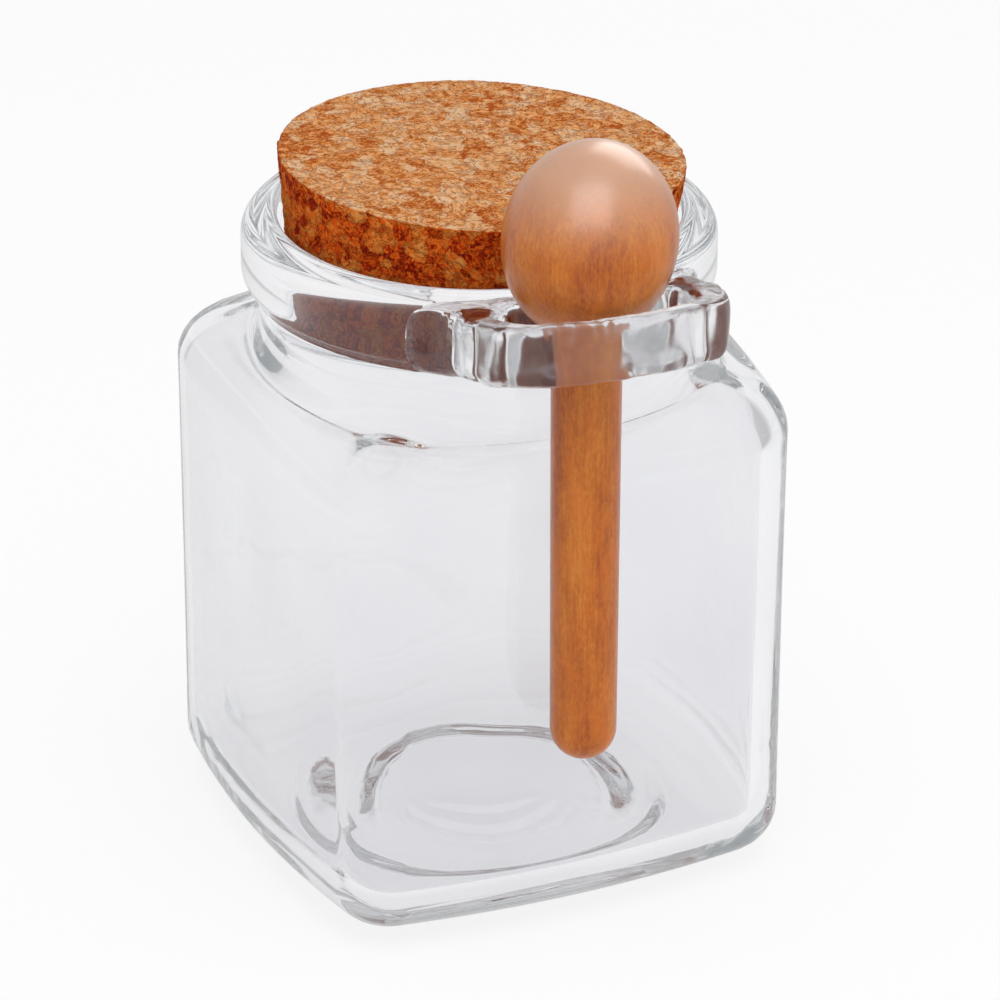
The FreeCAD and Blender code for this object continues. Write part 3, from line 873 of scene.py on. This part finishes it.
def cork_material():
    """Pressed cork: pale ragged chips with streaks of their own; the paler top is painted light and the
    darker, redder side is painted shade.
    """
    material, tree, output = new_material("pressed_cork")
    place = object_place(tree)
    ragged = ragged_place(tree, place)
    chip = add_cells(tree, ragged, CORK_CELLS)["Color"]
    chip_value = add_node(tree, "ShaderNodeSeparateColor", {0: chip}).outputs
    crumb = add_cells(tree, ragged, CORK_CRUMBS)["Color"]
    crumb_value = add_node(tree, "ShaderNodeSeparateColor", {0: crumb}).outputs
    angle = add_math(tree, "MULTIPLY", chip_value[0], 6.28)
    turned = add_node(tree, "ShaderNodeVectorRotate", {"Vector": place, "Axis": chip, "Angle": angle})
    turned = turned.outputs["Vector"]
    sliver = add_noise(tree, add_mapping(tree, turned, (1.0, 2.6, 2.6)), 1000.0, 5.0, 0.75)
    fine = add_noise(tree, place, 2600.0, 3.0, 0.7)
    tone = add_sum(tree, (sliver, 0.50), (chip_value[1], 0.16), (crumb_value[1], 0.12), (fine, 0.22))
    line = cork_line(tree, place, ragged, turned)
    shader = add_node(tree, "ShaderNodeBsdfPrincipled", {
        "Base Color": cork_colour(tree, place, tone, line), "Normal": add_bump(tree, tone, 1.0, 0.0012),
        "Roughness": 0.95, "Specular IOR Level": 0.08})
    tree.links.new(shader.outputs["BSDF"], output.inputs["Surface"])
    return material


def wood_colour(tree, place, tone, blotch):
    """Grain colours, orange where the wood is blotchy, and a paler pinkish cap up on the head that is a
    painted highlight.
    """
    base = add_ramp(tree, tone, coloured(WOOD_STOPS))
    orange = add_range(tree, blotch, 0.50, 0.68)
    shade = mix_colour(tree, add_math(tree, "MULTIPLY", orange, 0.6), base, colour(210, 102, 6))
    # Painted highlight: the head turns pale and pinkish towards its top, where the overhead light falls on
    # the varnish.
    painted_highlight_cap = add_range(tree, add_axes(tree, place)["Z"], 0.1015, 0.1140, top=0.86, kind="SMOOTHSTEP")
    return mix_colour(tree, painted_highlight_cap, shade, colour(196, 156, 130))


def wood_material():
    """Fine pale hardwood under a thin satin varnish, grain along the stick."""
    material, tree, output = new_material("varnished_wood")
    place = object_place(tree)
    fibre = add_noise(tree, add_mapping(tree, place, (1.0, 1.0, 0.05)), 2600.0, 4.0, 0.65)
    band = add_noise(tree, add_mapping(tree, place, (1.0, 0.7, 0.12)), 330.0, 3.0)
    speck = add_noise(tree, add_mapping(tree, place, (1.0, 1.0, 0.4)), 2400.0, 4.0, 0.75)
    blotch = add_noise(tree, add_mapping(tree, place, (1.0, 1.0, 0.5)), 260.0, 4.0, 0.7)
    tone = add_sum(tree, (fibre, 0.22), (band, 0.28), (speck, 0.30), (blotch, 0.20))
    shader = add_node(tree, "ShaderNodeBsdfPrincipled", {
        "Base Color": wood_colour(tree, place, tone, blotch),
        "Normal": add_bump(tree, add_math(tree, "ADD", fibre, speck), 0.2, 0.00012),
        "Roughness": add_range(tree, speck, 0.0, 1.0, 0.36, 0.5),
        "Specular IOR Level": 0.12, "Coat Weight": 0.75, "Coat Roughness": 0.26})
    tree.links.new(shader.outputs["BSDF"], output.inputs["Surface"])
    return material


# ---------------------------------------------------------------- stage, light and camera

def floor_material():
    """White that shows as it is to the camera and through glass, dimmer in mirror images."""
    material, tree, output = new_material("white_floor")
    path = tree.nodes.new("ShaderNodeLightPath").outputs
    mirrored_ray = add_math(tree, "SUBTRACT", path["Is Glossy Ray"], path["Is Transmission Ray"])
    mirrored_ray = add_math(tree, "MAXIMUM", mirrored_ray, 0.0)
    dimmed = add_math(tree, "SUBTRACT", 1.0, add_math(tree, "MULTIPLY", mirrored_ray, 0.35))
    seen = add_math(tree, "MAXIMUM", path["Is Camera Ray"], path["Is Glossy Ray"])
    seen = add_math(tree, "MAXIMUM", seen, path["Is Transmission Ray"])
    plain = add_node(tree, "ShaderNodeBsdfDiffuse", {"Color": grey(0.93)})
    white = add_node(tree, "ShaderNodeEmission", {"Color": grey(1.0), "Strength": dimmed})
    mix = add_node(tree, "ShaderNodeMixShader", {"Fac": add_math(tree, "MULTIPLY", seen, 0.86),
                                                 1: plain.outputs["BSDF"], 2: white.outputs["Emission"]})
    tree.links.new(mix.outputs["Shader"], output.inputs["Surface"])
    return material


def make_floor():
    mesh = bpy.data.meshes.new("floor")
    work = bmesh.new()
    bmesh.ops.create_circle(work, cap_ends=True, segments=96, radius=4.0)
    work.to_mesh(mesh)
    work.free()
    mesh.materials.append(floor_material())
    floor = bpy.data.objects.new("floor", mesh)
    bpy.context.scene.collection.objects.link(floor)


def make_world():
    """Even studio light; glass and varnish also see the room's paler and greyer heights."""
    world = bpy.data.worlds.new("studio")
    world.use_nodes = True
    tree = world.node_tree
    tree.nodes.clear()
    output = tree.nodes.new("ShaderNodeOutputWorld")
    path = tree.nodes.new("ShaderNodeLightPath").outputs
    height = add_axes(tree, tree.nodes.new("ShaderNodeTexCoord").outputs["Generated"])["Z"]
    room = add_ramp(tree, height, [(0.0, grey(0.95)), (0.12, grey(0.58)), (0.40, grey(0.66)),
                                   (0.60, grey(0.72)), (1.0, grey(0.70))])
    glossy = add_math(tree, "MAXIMUM", path["Is Glossy Ray"], path["Is Transmission Ray"])
    shade = mix_colour(tree, glossy, grey(0.5), room)
    shade = mix_colour(tree, path["Is Camera Ray"], shade, grey(1.0))
    light = add_node(tree, "ShaderNodeBackground", {"Color": shade})
    tree.links.new(light.outputs["Background"], output.inputs["Surface"])
    bpy.context.scene.world = world


# Name, place, width in metres and power in watts of each lamp, and whether it spreads plain light or only
# gives highlights.
LAMPS = (("key", (-0.08, -0.26, 0.75), 0.6, 3.6, True), ("fill", (0.7, -0.25, 0.45), 0.5, 0.7, True),
         ("shine", (-0.25, -0.5, 0.75), 0.8, 7.5, False), ("rim", (0.6, 0.5, 0.6), 0.7, 6.0, False))
LAMP_TARGET = (0, 0, 0.1)


def add_area(name, place, size, power):
    light = bpy.data.lights.new(name, "AREA")
    light.shape = "SQUARE"
    light.size = size
    light.energy = power
    lamp = bpy.data.objects.new(name, light)
    lamp.location = place
    lamp.rotation_euler = (Vector(LAMP_TARGET) - Vector(place)).to_track_quat("-Z", "Y").to_euler()
    bpy.context.scene.collection.objects.link(lamp)
    return lamp


def add_lights(glass):
    """Soft lamps, none of which lights the glass, so that it mirrors no bright squares."""
    unlit = bpy.data.collections.new("unlit")
    unlit.objects.link(glass)
    for name, place, size, power, spreads in LAMPS:
        lamp = add_area(name, place, size, power)
        lamp.visible_diffuse = spreads
        lamp.visible_glossy = not spreads
        lamp.light_linking.receiver_collection = unlit
    for entry in unlit.collection_objects:
        entry.light_linking.link_state = "EXCLUDE"


CAMERA_AZIMUTH = math.radians(-24.6)
CAMERA_ELEVATION = math.radians(25.8)
CAMERA_DISTANCE = 0.86366
CAMERA_TARGET = Vector((0, 0, 0.04756))
CAMERA_LENS = 231.6456          # in millimetres, on a sensor 36 mm wide
CAMERA_ROLL = math.radians(0.1)
CAMERA_AIM = math.radians(0.18877)   # how far its view is turned sideways from the target
CAMERA_TIP = math.radians(0.01247)   # and up or down from it
BOUNCES = 64                    # enough for rays through all the skins of the glass


def add_camera():
    aim = Matrix.Rotation(CAMERA_AIM, 3, "Y")
    tip = Matrix.Rotation(CAMERA_TIP, 3, "X")
    roll = Matrix.Rotation(CAMERA_ROLL, 3, "Z")
    level = math.cos(CAMERA_ELEVATION)
    back = Vector((math.sin(CAMERA_AZIMUTH) * level, -math.cos(CAMERA_AZIMUTH) * level,
                   math.sin(CAMERA_ELEVATION)))
    camera = bpy.data.cameras.new("camera")
    camera.sensor_width = 36.0
    camera.lens = CAMERA_LENS
    view = bpy.data.objects.new("camera", camera)
    view.location = CAMERA_TARGET + back * CAMERA_DISTANCE
    turn = (-back).to_track_quat("-Z", "Y").to_matrix()
    view.rotation_euler = (turn @ aim.inverted() @ tip.inverted() @ roll).to_euler()
    bpy.context.scene.collection.objects.link(view)
    bpy.context.scene.camera = view


# ---------------------------------------------------------------- put together

def finish_piece(piece, node, material):
    piece.data.materials.clear()
    piece.data.materials.append(material)
    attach(piece, "root")
    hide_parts(node)


glass = make_glass()
finish_piece(glass, "glass_jar", glass_material())
finish_piece(make_cork(), "cork_stopper", cork_material())
finish_piece(make_spoon(), "wooden_spoon", wood_material())
make_floor()
make_world()
add_lights(glass)
add_camera()
bpy.context.scene.view_settings.view_transform = "Standard"
bpy.context.scene.cycles.max_bounces = BOUNCES
bpy.context.scene.cycles.transmission_bounces = BOUNCES
bpy.context.scene.cycles.glossy_bounces = BOUNCES

bpy.context.view_layer.update()
